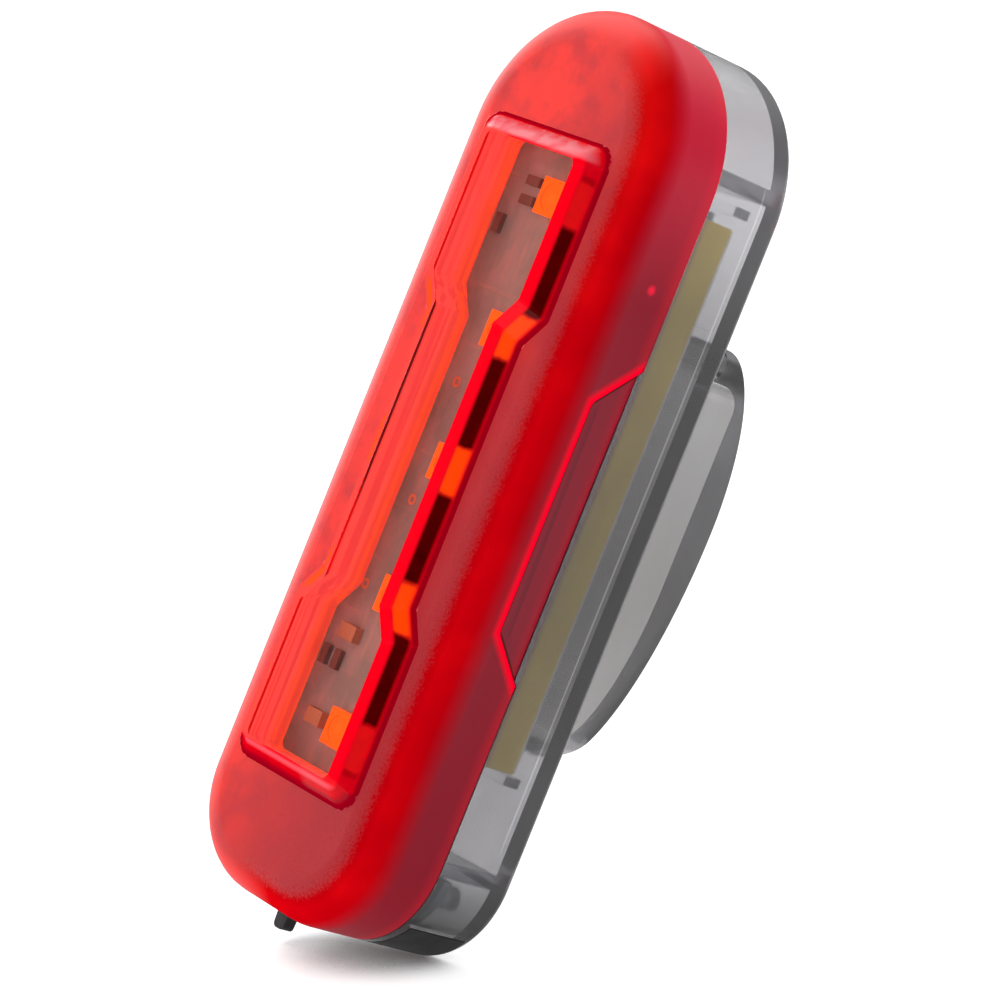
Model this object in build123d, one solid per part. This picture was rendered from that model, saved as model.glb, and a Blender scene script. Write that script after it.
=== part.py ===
from build123d import *
import math
import os

# Rechargeable bicycle rear light: a red lens shell and a smoked rear case closed on a gasket,
# a waisted window over five light emitters, a pouch cell, a charging socket under a rubber cover,
# a side button, and a sprung clip arm that grips a strap against the flat back.
#
# Millimetres. X runs across the light, Y from the lens (-Y) to the clip (+Y), Z along the light.
# The origin is on the flat back face, midway along the body.

# Body outline and shell depths
BODY_LENGTH = 75.3
BODY_WIDTH = 23.0
END_CORNER = 8.3
LENS_DEPTH = 7.9
CASE_DEPTH = 7.7
LENS_WALL = 1.5
CASE_WALL = 1.5
FRONT_ROUND = 3.3
BACK_ROUND = 0.9

# Joint between the shells: a tongue on the case, a gasket on the tongue, a groove in the lens
TONGUE_THICKNESS = 0.6
TONGUE_HEIGHT = 0.8
TONGUE_GAP = 0.05
GASKET_THICKNESS = 0.4

# Raised window of the lens: the clear facet, its waist, and the bevel down to the front face
WINDOW_CENTRE_Z = -0.3
WINDOW_RISE = 1.53
FACET_HALF_WIDTH = 5.6
FACET_WAIST_HALF_WIDTH = 3.8
FACET_HALF_HEIGHT = 25.65
WAIST_HALF_HEIGHT = 11.7
SHOULDER_HEIGHT = 2.4
BEVEL_SIDE = 2.5
BEVEL_END = 1.8
FACET_CORNER = 0.6
BEVEL_CORNER = 1.8
SHOULDER_CORNER = 0.7
FACET_EDGE_ROUND = 0.22

# Light chamber behind the facet, closed at the back by the board
CHAMBER_SIDE = 0.9
CHAMBER_END = 0.3
CHAMBER_WALL = 1.0
CHAMBER_DEPTH = 2.0

# Trapezoid grip recess on each side of the lens skirt
GRIP_DEPTH = 0.45
GRIP_HEIGHT = 3.5
GRIP_CENTRE_Z = -0.9
GRIP_SEAM_HALF_LENGTH = 12.9
GRIP_TOP_HALF_LENGTH = 9.4
GRIP_CORNER = 0.8

# Emitter board
BOARD_THICKNESS = 1.0
BOARD_GAP = 1.1
EMITTER_COUNT = 5
EMITTER_END_ROOM = 2.05
EMITTER_SIZE = 3.0
EMITTER_THICKNESS = 0.7
EMITTER_DISH = 1.15

# Small parts on the board
RESISTOR_LENGTH = 1.6
RESISTOR_WIDTH = 0.8
RESISTOR_HEIGHT = 0.45
CAPACITOR_LENGTH = 2.0
CAPACITOR_WIDTH = 1.25
CAPACITOR_HEIGHT = 0.8
PART_ROOM = 0.75
PART_STEP = 1.6
CONTROLLER_LENGTH = 4.9
CONTROLLER_WIDTH = 3.9
CONTROLLER_HEIGHT = 1.5
CONTROLLER_X = 3.0
CONTROLLER_Z = 8.0
CHARGER_LENGTH = 2.9
CHARGER_WIDTH = 1.6
CHARGER_HEIGHT = 1.1
CHARGER_X = -4.0
CHARGER_Z = -20.0
CHIP_STANDOFF = 0.1
LEG_REACH = 1.0
LEG_THICKNESS = 0.25
COIL_SIDE = 4.0
COIL_HEIGHT = 1.8
COIL_X = 4.0
COIL_Z = -9.0
INDICATOR_LENGTH = 1.6
INDICATOR_WIDTH = 0.8
INDICATOR_HEIGHT = 3.4
INDICATOR_FROM_RIB = 9.95

# Cross ribs of the rear case, which press the board against the light chamber
RIB_THICKNESS = 1.1
RIB_FROM_TOP = 9.45
RIB_FROM_BOTTOM = 8.35
RIB_NECK_HALF_WIDTH = 7.2

# Side button in the left grip recess, and the switch behind it
BUTTON_LENGTH = 10.0
BUTTON_HEIGHT = 1.7
BUTTON_LAND = 0.25
BUTTON_PROUD = 0.2
BUTTON_GAP = 0.1
BUTTON_FLANGE = 0.2
BUTTON_FLANGE_THICKNESS = 0.5
BUTTON_TRAVEL = 0.35
SWITCH_LENGTH = 4.7
SWITCH_DEPTH = 3.5
SWITCH_PLUNGER_REACH = 0.85
SWITCH_PLUNGER_LENGTH = 2.0
SWITCH_PLUNGER_HEIGHT = 0.9
SWITCH_ROOF = 0.35

# Pouch cell, its tape, its foam pad and its protection board
CELL_SIDE_ROOM = 1.5
CELL_TOP_ROOM = 2.8
CELL_BOTTOM_ROOM = 8.05
CELL_THICKNESS = 4.2
CELL_EDGE = 0.5
TAPE_THICKNESS = 0.15
TAPE_WIDTH = 3.0
FOAM_THICKNESS = 0.6
FOAM_MARGIN = 2.5
GUARD_BOARD_MARGIN = 2.5
GUARD_BOARD_THICKNESS = 0.8
GUARD_BOARD_HEIGHT = 3.2
CELL_STOP_GAP = 0.25
CELL_STOP_HEIGHT = 1.6
CELL_STOP_THICKNESS = 0.8
CELL_STOP_LENGTH = 4.5

# Battery leads
LEAD_DIAMETER = 0.9
LEAD_SPACING = 4.0
LEAD_DROP = 2.2
LEAD_BEND = 1.3

# Charging socket on its own small board in the bottom compartment
CHARGE_BOARD_THICKNESS = 0.8
CHARGE_BOARD_GAP = 0.4
SOCKET_WIDTH = 7.5
SOCKET_HEIGHT = 2.45
SOCKET_LENGTH = 5.3
SOCKET_SHEET = 0.3
SOCKET_BACK_GAP = 1.1
SOCKET_TONGUE_HEIGHT = 0.6
SOCKET_TONGUE_INSET = 1.1
PIN_COUNT = 4
PIN_PITCH = 2.54
PIN_SIZE = 0.64
POST_DIAMETER = 2.0
POST_X = 6.2

# Rubber port cover on the bottom end, hinged at its right end
PORT_GAP = 0.3
COVER_THICKNESS = 0.8
COVER_HEIGHT = 5.9
COVER_LEFT_ANGLE = 22.0
COVER_HINGE_ANGLE = 15.0
ANCHOR_END_ANGLE = 50.0
COVER_GAP = 0.1
COVER_SEAT_GAP = 0.06
COVER_HINGE_GAP = 0.3
PLUG_CLEARANCE = 0.2
NUB_DEPTH = 0.75
NUB_INSET = 0.22
TAB_WIDTH = 1.8
TAB_THICKNESS = 1.1
TAB_REACH = 3.0
TAB_ROUND = 0.45
STEM_DIAMETER = 1.4
STEM_HEAD_DIAMETER = 2.0
STEM_HEAD_THICKNESS = 0.5

# Clip: a fixed root on the back and an arched arm that swings from it
CLIP_WIDTH = 16.0
CLIP_GAP = 6.0
CLIP_THICKNESS = 2.75
CLIP_TOP_Z = 16.3
CLIP_HINGE_Y = 1.9
CLIP_HINGE_GAP = 0.05
CLIP_ARCH_START = 1.1
CLIP_CROWN_DROP = 14.0
CLIP_LOWER_DEPTH = 7.2
CLIP_LOWER_DROP = 21.5
CLIP_INNER_ROUND = 1.9
CLIP_INNER_STRAIGHT = 16.7
CLIP_PINCH = 0.8
CLIP_INNER_DROP = 14.6
CLIP_NOSE = 0.28
CLIP_TIP_CORNER = 2.5
ROOT_FILLET = 0.8

# Places that follow from the sizes above
SEAM_Y = -CASE_DEPTH
FRONT_Y = SEAM_Y - LENS_DEPTH
LENS_INNER_X = BODY_WIDTH / 2 - LENS_WALL
WINDOW_Y = FRONT_Y - WINDOW_RISE
BOARD_FRONT_Y = FRONT_Y + LENS_WALL + CHAMBER_DEPTH
BOARD_BACK_Y = BOARD_FRONT_Y + BOARD_THICKNESS
BOARD_HALF_WIDTH = LENS_INNER_X - BOARD_GAP
CHAMBER_HALF_WIDTH = FACET_HALF_WIDTH + CHAMBER_SIDE
EMITTER_REACH = FACET_HALF_HEIGHT + CHAMBER_END - EMITTER_END_ROOM - EMITTER_SIZE / 2
EMITTER_PITCH = 2 * EMITTER_REACH / (EMITTER_COUNT - 1)
TOP_EMITTER_Z = WINDOW_CENTRE_Z + EMITTER_REACH
BOTTOM_EMITTER_Z = WINDOW_CENTRE_Z - EMITTER_REACH
GROOVE_DEPTH = TONGUE_HEIGHT + GASKET_THICKNESS
TOP_CENTRE_Z = BODY_LENGTH / 2 - BODY_WIDTH / 2
CORNER_X = BODY_WIDTH / 2 - END_CORNER
CORNER_Z = END_CORNER - BODY_LENGTH / 2
RIB_TOP_Z = BODY_LENGTH / 2 - RIB_FROM_TOP
RIB_BOTTOM_Z = RIB_FROM_BOTTOM - BODY_LENGTH / 2
INDICATOR_Z = RIB_TOP_Z - INDICATOR_FROM_RIB
BUTTON_Y = SEAM_Y - GROOVE_DEPTH - BUTTON_LAND - BUTTON_HEIGHT / 2
GRIP_FLOOR_X = BODY_WIDTH / 2 - GRIP_DEPTH
BUTTON_BACK_X = LENS_INNER_X - COVER_SEAT_GAP - BUTTON_FLANGE_THICKNESS
SWITCH_FRONT_X = BUTTON_BACK_X - SWITCH_PLUNGER_REACH
CELL_WIDTH = BODY_WIDTH - 2 * CASE_WALL - 2 * CELL_SIDE_ROOM
CELL_HIGH_Z = RIB_TOP_Z - RIB_THICKNESS / 2 - CELL_TOP_ROOM
CELL_LOW_Z = RIB_BOTTOM_Z + RIB_THICKNESS / 2 + CELL_BOTTOM_ROOM
CELL_LENGTH = CELL_HIGH_Z - CELL_LOW_Z
CELL_CENTRE_Z = (CELL_HIGH_Z + CELL_LOW_Z) / 2
CELL_BACK_Y = -CASE_WALL - FOAM_THICKNESS
CELL_FRONT_Y = CELL_BACK_Y - CELL_THICKNESS
CELL_MID_Y = (CELL_BACK_Y + CELL_FRONT_Y) / 2
CELL_TOP_Z = CELL_HIGH_Z + TAPE_THICKNESS
CELL_BOTTOM_Z = CELL_LOW_Z - TAPE_THICKNESS
GUARD_TOP_Z = CELL_TOP_Z + GUARD_BOARD_THICKNESS
SOCKET_BACK_Y = -CASE_WALL - SOCKET_BACK_GAP
PORT_Y = SOCKET_BACK_Y - SOCKET_HEIGHT / 2
CHARGE_BOARD_BACK_Y = SOCKET_BACK_Y - SOCKET_HEIGHT
CHARGE_BOARD_FRONT_Y = CHARGE_BOARD_BACK_Y - CHARGE_BOARD_THICKNESS
SOCKET_MOUTH_Z = CASE_WALL + 0.1 - BODY_LENGTH / 2
CHARGE_BOARD_TOP_Z = RIB_BOTTOM_Z - RIB_THICKNESS / 2 - CHARGE_BOARD_GAP
PIN_Z = CHARGE_BOARD_TOP_Z - 1.3
POST_Z = CHARGE_BOARD_TOP_Z - 1.8
CLIP_HINGE_Z = CLIP_TOP_Z - CLIP_THICKNESS / 2
CLIP_ROOT_LOW_Z = CLIP_TOP_Z - CLIP_THICKNESS


def front_plane(y):
    """Drawing plane at depth y, seen from the lens: local x is X, local y is Z."""
    return Plane((0, y, 0), x_dir=(1, 0, 0), z_dir=(0, -1, 0))


def slab(outline, y_front, y_back):
    """Straight block of an outline between two depths."""
    return extrude(front_plane(y_back) * outline, y_back - y_front)


def side_slab(outline, x_low, x_high):
    """Straight block of a Y-Z outline between two X places."""
    plane = Plane((x_low, 0, 0), x_dir=(0, 1, 0), z_dir=(1, 0, 0))
    return extrude(plane * outline, x_high - x_low)


def body_outline(inset):
    """Body outline moved inwards by inset: a full round at the top, two corner rounds at the bottom."""
    half = BODY_WIDTH / 2 - inset
    corner = END_CORNER - inset
    top = CenterArc((0, TOP_CENTRE_Z), half, 0, 180)
    left = CenterArc((-CORNER_X, CORNER_Z), corner, 180, 90)
    right = CenterArc((CORNER_X, CORNER_Z), corner, 270, 90)
    return make_face([top, Line(top @ 1, left @ 0), left, Line(left @ 1, right @ 0), right, Line(right @ 1, top @ 0)])


def block(size_x, size_y, size_z, x, y, z):
    """Box with its centre at x and z and its front face at y."""
    return Pos(x, y + size_y / 2, z) * Box(size_x, size_y, size_z)


def waisted_outline(side, end, corner):
    """Window outline lying outside the clear facet by side and end, with rounded corners."""
    run = FACET_HALF_WIDTH - FACET_WAIST_HALF_WIDTH
    slope = math.hypot(run, SHOULDER_HEIGHT)
    shift = SHOULDER_HEIGHT / run * (1 - SHOULDER_HEIGHT / slope) - run / slope
    wide = FACET_HALF_WIDTH + side
    waist = FACET_WAIST_HALF_WIDTH + side
    low = WAIST_HALF_HEIGHT + side * shift
    high = low + SHOULDER_HEIGHT
    top = FACET_HALF_HEIGHT + end
    right = [(wide, -top), (wide, -high), (waist, -low), (waist, low), (wide, high), (wide, top)]
    left = [(-x, z) for x, z in reversed(right)]
    face = make_face(Polyline(*right, *left, close=True))
    ends = [v for v in face.vertices() if abs(abs(v.Y) - top) < 0.01]
    shoulders = [v for v in face.vertices() if abs(abs(v.Y) - top) >= 0.01]
    face = fillet(shoulders, SHOULDER_CORNER)
    ends = [v for v in face.vertices() if abs(abs(v.Y) - top) < 0.01]
    return Pos(0, WINDOW_CENTRE_Z) * fillet(ends, corner)


def grip_outline():
    """Trapezoid of the side recess, drawn in Y and Z; it runs out at the seam."""
    inner_y = SEAM_Y - GRIP_HEIGHT
    points = [
        (SEAM_Y, -GRIP_SEAM_HALF_LENGTH),
        (SEAM_Y, GRIP_SEAM_HALF_LENGTH),
        (inner_y, GRIP_TOP_HALF_LENGTH),
        (inner_y, -GRIP_TOP_HALF_LENGTH),
    ]
    face = make_face(Polyline(*points, close=True))
    return Pos(0, GRIP_CENTRE_Z) * fillet(face.vertices().sort_by(Axis.X)[:2], GRIP_CORNER)


def front_lens():
    """Red lens: rounded skirt, raised waisted window, light chamber, grips and button slot."""
    skin = slab(body_outline(0), FRONT_Y, SEAM_Y)
    skin = fillet(skin.faces().sort_by(Axis.Y)[0].edges(), FRONT_ROUND)
    foot = front_plane(FRONT_Y) * waisted_outline(BEVEL_SIDE, BEVEL_END, BEVEL_CORNER)
    facet = front_plane(WINDOW_Y) * waisted_outline(0, 0, FACET_CORNER)
    skin += loft([foot, facet], ruled=True)
    skin += slab(waisted_outline(BEVEL_SIDE, BEVEL_END, BEVEL_CORNER), FRONT_Y, FRONT_Y + LENS_WALL / 2)
    skin = fillet(skin.faces().sort_by(Axis.Y)[0].edges(), FACET_EDGE_ROUND)
    hollow = slab(body_outline(LENS_WALL), FRONT_Y + LENS_WALL, SEAM_Y)
    hollow = chamfer(hollow.faces().sort_by(Axis.Y)[0].edges(), (FRONT_ROUND - LENS_WALL) / 2)
    hollow += slab(body_outline(CASE_WALL - TONGUE_THICKNESS - TONGUE_GAP), SEAM_Y - GROOVE_DEPTH, SEAM_Y)
    chamber = waisted_outline(CHAMBER_SIDE, CHAMBER_END, FACET_CORNER)
    chamber_skirt = waisted_outline(CHAMBER_SIDE + CHAMBER_WALL, CHAMBER_END + CHAMBER_WALL, BEVEL_CORNER)
    lens = skin - hollow
    lens += slab(chamber_skirt, FRONT_Y + LENS_WALL / 2, BOARD_FRONT_Y)
    lens -= slab(chamber, WINDOW_Y + LENS_WALL, BOARD_FRONT_Y)
    lens -= side_slab(grip_outline(), GRIP_FLOOR_X, BODY_WIDTH / 2 + 1)
    lens -= side_slab(grip_outline(), -BODY_WIDTH / 2 - 1, -GRIP_FLOOR_X)
    lens -= side_slab(button_outline(BUTTON_GAP), -BODY_WIDTH / 2 - 1, -LENS_INNER_X + 1)
    return lens


def button_outline(grow):
    """Round-ended bar of the button, drawn in Y and Z."""
    bar = SlotOverall(BUTTON_LENGTH + 2 * grow, BUTTON_HEIGHT + 2 * grow, rotation=90)
    return Pos(BUTTON_Y, GRIP_CENTRE_Z) * bar


def power_button():
    """Side button: a round-ended bar with a thin flange that keeps it behind the wall."""
    flange_front_x = -LENS_INNER_X + COVER_SEAT_GAP
    face_x = -GRIP_FLOOR_X - BUTTON_PROUD
    bar = side_slab(button_outline(0), face_x, flange_front_x)
    bar = chamfer(bar.faces().sort_by(Axis.X)[0].edges(), BUTTON_PROUD)
    return bar + side_slab(button_outline(BUTTON_FLANGE), flange_front_x, -BUTTON_BACK_X)


def switch_plunger():
    """Plunger of the side switch, against the button's back."""
    plunger = Rectangle(SWITCH_PLUNGER_HEIGHT, SWITCH_PLUNGER_LENGTH)
    return side_slab(Pos(BUTTON_Y, GRIP_CENTRE_Z) * plunger, -BUTTON_BACK_X, -SWITCH_FRONT_X)


def side_switch():
    """Body of the side switch on the back of the board, with the well its plunger runs in."""
    roof_y = BUTTON_Y + SWITCH_PLUNGER_HEIGHT / 2 + SWITCH_ROOF
    middle_x = SWITCH_DEPTH / 2 - SWITCH_FRONT_X
    body = block(SWITCH_DEPTH, roof_y - BOARD_BACK_Y, SWITCH_LENGTH, middle_x, BOARD_BACK_Y, GRIP_CENTRE_Z)
    well = Rectangle(SWITCH_PLUNGER_HEIGHT + 2 * BUTTON_GAP, SWITCH_PLUNGER_LENGTH + 2 * BUTTON_GAP)
    well_end_x = BUTTON_TRAVEL + BUTTON_GAP - SWITCH_FRONT_X
    return body - side_slab(Pos(BUTTON_Y, GRIP_CENTRE_Z) * well, -SWITCH_FRONT_X, well_end_x)


def end_sector(inner, outer, angle_from, angle_to):
    """Part of a ring round the bottom end's right corner; angles are counted from straight down."""
    outer_arc = CenterArc((CORNER_X, CORNER_Z), outer, 270 + angle_from, angle_to - angle_from)
    inner_arc = CenterArc((CORNER_X, CORNER_Z), inner, 270 + angle_from, angle_to - angle_from)
    first = Line(outer_arc @ 0, inner_arc @ 0)
    last = Line(outer_arc @ 1, inner_arc @ 1)
    return make_face([outer_arc, last, inner_arc, first])


def end_strip(inner, outer, left, right):
    """Band along the bottom end, from an angle on its left corner to an angle on its right corner."""
    edges = []
    starts = []
    ends = []
    for radius in (inner, outer):
        first = CenterArc((-CORNER_X, CORNER_Z), radius, 270 - left, left)
        second = CenterArc((CORNER_X, CORNER_Z), radius, 270, right)
        edges += [first, Line(first @ 1, second @ 0), second]
        starts.append(first @ 0)
        ends.append(second @ 1)
    return make_face(edges + [Line(*starts), Line(*ends)])


def gap_angle(gap):
    """Angle that a gap takes up along the bottom end's corners."""
    return math.degrees(gap / END_CORNER)


def rear_case():
    """Smoked case: flat back, cross ribs, tongue, board posts, cell stops, port and clip root."""
    case = slab(body_outline(0), SEAM_Y, 0)
    case = fillet(case.faces().sort_by(Axis.Y)[-1].edges(), BACK_ROUND)
    case -= slab(body_outline(CASE_WALL), SEAM_Y, -CASE_WALL)
    tongue = body_outline(CASE_WALL - TONGUE_THICKNESS) - body_outline(CASE_WALL)
    case += slab(tongue, SEAM_Y - TONGUE_HEIGHT, SEAM_Y)
    for rib_z in (RIB_TOP_Z, RIB_BOTTOM_Z):
        band = body_outline(CASE_WALL) & Pos(0, rib_z) * Rectangle(BODY_WIDTH, RIB_THICKNESS)
        case += slab(band, SEAM_Y, -CASE_WALL)
        neck = Pos(0, rib_z) * Rectangle(2 * RIB_NECK_HALF_WIDTH, RIB_THICKNESS)
        case += slab(neck, BOARD_BACK_Y, SEAM_Y)
    for side in (-1, 1):
        post = Pos(side * POST_X, POST_Z) * Circle(POST_DIAMETER / 2)
        case += slab(post, CHARGE_BOARD_BACK_Y, -CASE_WALL)
        for stop_z in (GUARD_TOP_Z + CELL_STOP_GAP, CELL_BOTTOM_Z - CELL_STOP_GAP - CELL_STOP_THICKNESS):
            stop_x = side * (CELL_WIDTH - CELL_STOP_LENGTH) / 2
            stop = Pos(stop_x, stop_z + CELL_STOP_THICKNESS / 2) * Rectangle(CELL_STOP_LENGTH, CELL_STOP_THICKNESS)
            case += slab(stop, -CASE_WALL - CELL_STOP_HEIGHT, -CASE_WALL)
    case += clip_root()
    case -= port_recess()
    case -= port_opening()
    case -= stem_bore()
    return case


def port_recess():
    """Shallow seat for the rubber cover and its fixed end, cut into the bottom end."""
    left = COVER_LEFT_ANGLE + gap_angle(COVER_GAP)
    right = ANCHOR_END_ANGLE + gap_angle(COVER_GAP)
    seat = end_strip(END_CORNER - COVER_THICKNESS, END_CORNER + 2, left, right)
    half = COVER_HEIGHT / 2 + COVER_GAP
    return slab(seat, PORT_Y - half, PORT_Y + half)


def port_opening():
    """Window through the bottom wall for the charging plug."""
    width = SOCKET_WIDTH + 2 * PORT_GAP
    height = SOCKET_HEIGHT + 2 * PORT_GAP
    depth = COVER_THICKNESS + CASE_WALL + 2
    return Pos(0, PORT_Y, SOCKET_MOUTH_Z) * Box(width, height, depth)


def radial_rod(diameter, inner, outer):
    """Round rod along the radius of the bottom end, in the middle of the cover's fixed end."""
    angle = math.radians((COVER_HINGE_ANGLE + ANCHOR_END_ANGLE) / 2)
    way = Vector(math.sin(angle), 0, -math.cos(angle))
    start = Vector(CORNER_X, PORT_Y, CORNER_Z) + way * inner
    return extrude(Plane(start, z_dir=way) * Circle(diameter / 2), outer - inner)


def stem_bore():
    """Bore in the bottom wall for the stem of the cover's fixed end."""
    inner = END_CORNER - CASE_WALL - 1
    return radial_rod(STEM_DIAMETER + 2 * COVER_SEAT_GAP, inner, END_CORNER)


def port_anchor():
    """Fixed end of the rubber cover, with its stem and retaining head inside the case."""
    start = COVER_HINGE_ANGLE + gap_angle(COVER_HINGE_GAP)
    strip = end_sector(END_CORNER - COVER_THICKNESS + COVER_SEAT_GAP, END_CORNER, start, ANCHOR_END_ANGLE)
    anchor = slab(strip, PORT_Y - COVER_HEIGHT / 2, PORT_Y + COVER_HEIGHT / 2)
    flat_inner = END_CORNER - CASE_WALL - COVER_SEAT_GAP
    head_inner = flat_inner - STEM_HEAD_THICKNESS
    anchor += radial_rod(STEM_DIAMETER, flat_inner, END_CORNER - COVER_THICKNESS / 2)
    return anchor + radial_rod(STEM_HEAD_DIAMETER, head_inner, flat_inner)


def port_cover():
    """Rubber flap over the socket: strip, plug, nub and the pull tab at its left corner."""
    inner_radius = END_CORNER - COVER_THICKNESS + COVER_SEAT_GAP
    strip = end_strip(inner_radius, END_CORNER, COVER_LEFT_ANGLE, COVER_HINGE_ANGLE)
    front_y = PORT_Y - COVER_HEIGHT / 2
    cover = slab(strip, front_y, PORT_Y + COVER_HEIGHT / 2)
    plug_x = SOCKET_WIDTH + 2 * PORT_GAP - 2 * PLUG_CLEARANCE
    plug_y = SOCKET_HEIGHT + 2 * PORT_GAP - 2 * PLUG_CLEARANCE
    plug_top = SOCKET_MOUTH_Z - COVER_SEAT_GAP
    plug_low = COVER_THICKNESS / 2 - BODY_LENGTH / 2
    cover += Pos(0, PORT_Y, (plug_top + plug_low) / 2) * Box(plug_x, plug_y, plug_top - plug_low)
    nub_x = SOCKET_WIDTH - 2 * SOCKET_SHEET - 2 * NUB_INSET
    nub_y = SOCKET_HEIGHT - 2 * SOCKET_SHEET - 2 * NUB_INSET
    nub_height = 2 * NUB_DEPTH
    cover += Pos(0, PORT_Y, plug_top + NUB_DEPTH - nub_height / 2) * Box(nub_x, nub_y, nub_height)
    return cover + pull_tab(front_y)


def pull_tab(front_y):
    """Tapered tab with a round tip, standing down from the cover's front left corner."""
    angle = math.radians(COVER_LEFT_ANGLE)
    root_x = TAB_WIDTH / 2 - CORNER_X - END_CORNER * math.sin(angle)
    surface_z = CORNER_Z - math.sqrt(END_CORNER**2 - (root_x + CORNER_X) ** 2)
    root_z = surface_z + COVER_THICKNESS * 0.7
    profile = Polyline(
        (root_x - TAB_WIDTH / 2, root_z),
        (root_x + TAB_WIDTH / 2, root_z),
        (root_x + TAB_WIDTH * 0.36, surface_z - TAB_REACH),
        (root_x - TAB_WIDTH * 0.36, surface_z - TAB_REACH),
        close=True,
    )
    face = make_face(profile)
    face = fillet(face.vertices().sort_by(Axis.Y)[:2], TAB_ROUND)
    tab = slab(face, front_y, front_y + TAB_THICKNESS)
    return tab & slab(body_outline(-TAB_REACH * 1.5) - body_outline(COVER_THICKNESS * 0.6), front_y, 0)


def clip_root():
    """Fixed root of the clip on the back face, ending in the round nose that the arm swings on."""
    stub = Rectangle(CLIP_HINGE_Y + CASE_WALL / 2, CLIP_THICKNESS)
    middle_y = (CLIP_HINGE_Y - CASE_WALL / 2) / 2
    root = side_slab(Pos(middle_y, CLIP_HINGE_Z) * stub, -CLIP_WIDTH / 2, CLIP_WIDTH / 2)
    nose = Pos(CLIP_HINGE_Y, CLIP_HINGE_Z) * Circle(CLIP_THICKNESS / 2)
    root += side_slab(nose, -CLIP_WIDTH / 2, CLIP_WIDTH / 2)
    for way in (-1, 1):
        foot_z = CLIP_HINGE_Z + way * CLIP_THICKNESS / 2
        fill = make_face(Polyline((0, foot_z), (ROOT_FILLET, foot_z), (0, foot_z + way * ROOT_FILLET), close=True))
        root += side_slab(fill, -CLIP_WIDTH / 2, CLIP_WIDTH / 2)
    return root


def clip_profile():
    """Side view of the arm: crowned outside, straight inside, closing to a round nose."""
    outer_y = CLIP_GAP + CLIP_THICKNESS
    arch_y = CLIP_HINGE_Y + CLIP_ARCH_START
    crown_z = CLIP_TOP_Z - CLIP_CROWN_DROP
    inner_bend_z = CLIP_ROOT_LOW_Z - CLIP_INNER_STRAIGHT
    corner_y = CLIP_GAP - CLIP_INNER_ROUND
    corner_z = CLIP_ROOT_LOW_Z - CLIP_INNER_ROUND
    inner_depth = CLIP_GAP - CLIP_PINCH
    top = Line((CLIP_HINGE_Y, CLIP_TOP_Z), (arch_y, CLIP_TOP_Z))
    upper = EllipticalCenterArc((arch_y, crown_z), outer_y - arch_y, CLIP_CROWN_DROP, 0, arc_size=90)
    lower_centre = (outer_y - CLIP_LOWER_DEPTH, crown_z)
    lower = EllipticalCenterArc(lower_centre, CLIP_LOWER_DEPTH, CLIP_LOWER_DROP, 270, arc_size=90)
    inner_centre = (CLIP_PINCH, inner_bend_z)
    inner = EllipticalCenterArc(inner_centre, inner_depth, CLIP_INNER_DROP, 270, arc_size=90)
    outer_tip = Vector(outer_y - CLIP_LOWER_DEPTH, crown_z - CLIP_LOWER_DROP)
    inner_tip = Vector(CLIP_PINCH, inner_bend_z - CLIP_INNER_DROP)
    middle = (outer_tip + inner_tip) / 2
    nose = ThreePointArc(outer_tip, (middle.X - CLIP_NOSE * 1.6, middle.Y), inner_tip)
    straight = Line((CLIP_GAP, inner_bend_z), (CLIP_GAP, corner_z))
    corner = CenterArc((corner_y, corner_z), CLIP_INNER_ROUND, 0, 90)
    under = Line((corner_y, CLIP_ROOT_LOW_Z), (CLIP_HINGE_Y, CLIP_ROOT_LOW_Z))
    close = Line((CLIP_HINGE_Y, CLIP_ROOT_LOW_Z), (CLIP_HINGE_Y, CLIP_TOP_Z))
    return make_face([top, upper, lower, nose, inner, straight, corner, under, close])


def clip_arm():
    """Sprung arm of the clip, with rounded tip corners, swinging on the root's nose."""
    arm = side_slab(clip_profile(), -CLIP_WIDTH / 2, CLIP_WIDTH / 2)
    socket = Pos(CLIP_HINGE_Y, CLIP_HINGE_Z) * Circle(CLIP_THICKNESS / 2 + CLIP_HINGE_GAP)
    arm -= side_slab(socket, -CLIP_WIDTH / 2, CLIP_WIDTH / 2)
    tip_z = CLIP_TOP_Z - CLIP_CROWN_DROP - CLIP_LOWER_DROP
    height = CLIP_TOP_Z - tip_z
    front = Pos(0, tip_z + height / 2) * Rectangle(CLIP_WIDTH, height)
    front = fillet(front.vertices().sort_by(Axis.Y)[:2], CLIP_TIP_CORNER)
    return arm & slab(front, -1, CLIP_GAP + CLIP_THICKNESS + 1)


def seam_gasket():
    """Silicone band on top of the case's tongue."""
    ring = body_outline(CASE_WALL - TONGUE_THICKNESS) - body_outline(CASE_WALL)
    return slab(ring, SEAM_Y - GROOVE_DEPTH, SEAM_Y - TONGUE_HEIGHT)


def led_board():
    """Emitter board, following the body's outline."""
    return slab(body_outline(LENS_WALL + BOARD_GAP), BOARD_FRONT_Y, BOARD_BACK_Y)


def emitter(index):
    """One square light emitter on the board's front, with a shallow round dish."""
    z = WINDOW_CENTRE_Z + (index - (EMITTER_COUNT - 1) / 2) * EMITTER_PITCH
    front_y = BOARD_FRONT_Y - EMITTER_THICKNESS
    body = block(EMITTER_SIZE, EMITTER_THICKNESS, EMITTER_SIZE, 0, front_y, z)
    dish = slab(Pos(0, z) * Circle(EMITTER_DISH), front_y, front_y + EMITTER_THICKNESS / 5)
    return body - dish


def small_parts(length, width, height, places, on_front):
    """Group of equal small parts on the board; each place is x, z and whether it is turned."""
    y = BOARD_FRONT_Y - height if on_front else BOARD_BACK_Y
    made = []
    for x, z, turned in places:
        across, along = (width, length) if turned else (length, width)
        made.append(block(across, height, along, x, y, z))
    return Compound(children=made)


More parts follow.
